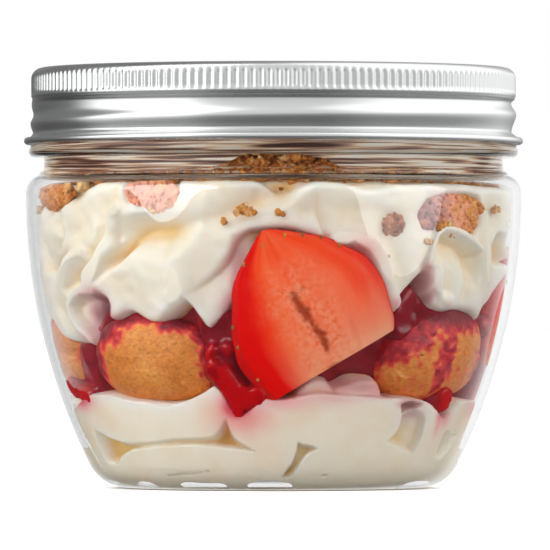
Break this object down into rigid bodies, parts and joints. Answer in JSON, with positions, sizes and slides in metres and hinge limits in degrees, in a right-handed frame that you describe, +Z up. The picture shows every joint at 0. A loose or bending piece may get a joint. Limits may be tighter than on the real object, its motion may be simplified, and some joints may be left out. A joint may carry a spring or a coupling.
{
  "type": "tiramisu jar",
  "caption": "Wide clear jar with an aluminium screw lid, filled with layers of cream, sponge fingers, strawberry, berry sauce and biscuit crumbs.",
  "frame": {"origin": "centre of the jar's base, on the plane it stands on", "axes": "+Z up along the jar's axis; -Y is the front, where the halved strawberry lies against the wall"},
  "size_m": [0.0926, 0.0926, 0.0778],
  "materials": {
    "jar_plastic": "clear, polished",
    "lid_aluminium": "satin",
    "cream": "whipped cream, soft sheen",
    "sauce": "wet berry sauce",
    "biscuit": "baked sponge",
    "strawberry": "fresh cut fruit",
    "crumb": "rough biscuit crumb"
  },
  "bodies": {
    "root": {"jar": "jar_plastic", "lid": "lid_aluminium", "bottom_cream": "cream", "top_cream": "cream", "berry_sauce": "sauce", "biscuit_1": "biscuit", "biscuit_2": "biscuit", "biscuit_3": "biscuit", "biscuit_4": "biscuit", "biscuit_5": "biscuit", "strawberry_1": "strawberry", "strawberry_2": "strawberry", "strawberry_3": "strawberry", "wall_crumb_1": "crumb", "wall_crumb_2": "crumb", "wall_crumb_3": "crumb", "wall_crumb_4": "crumb", "wall_crumb_5": "crumb", "wall_crumb_6": "crumb", "wall_crumb_7": "crumb", "crumb_topping": "crumb"}
  },
  "joints": []
}
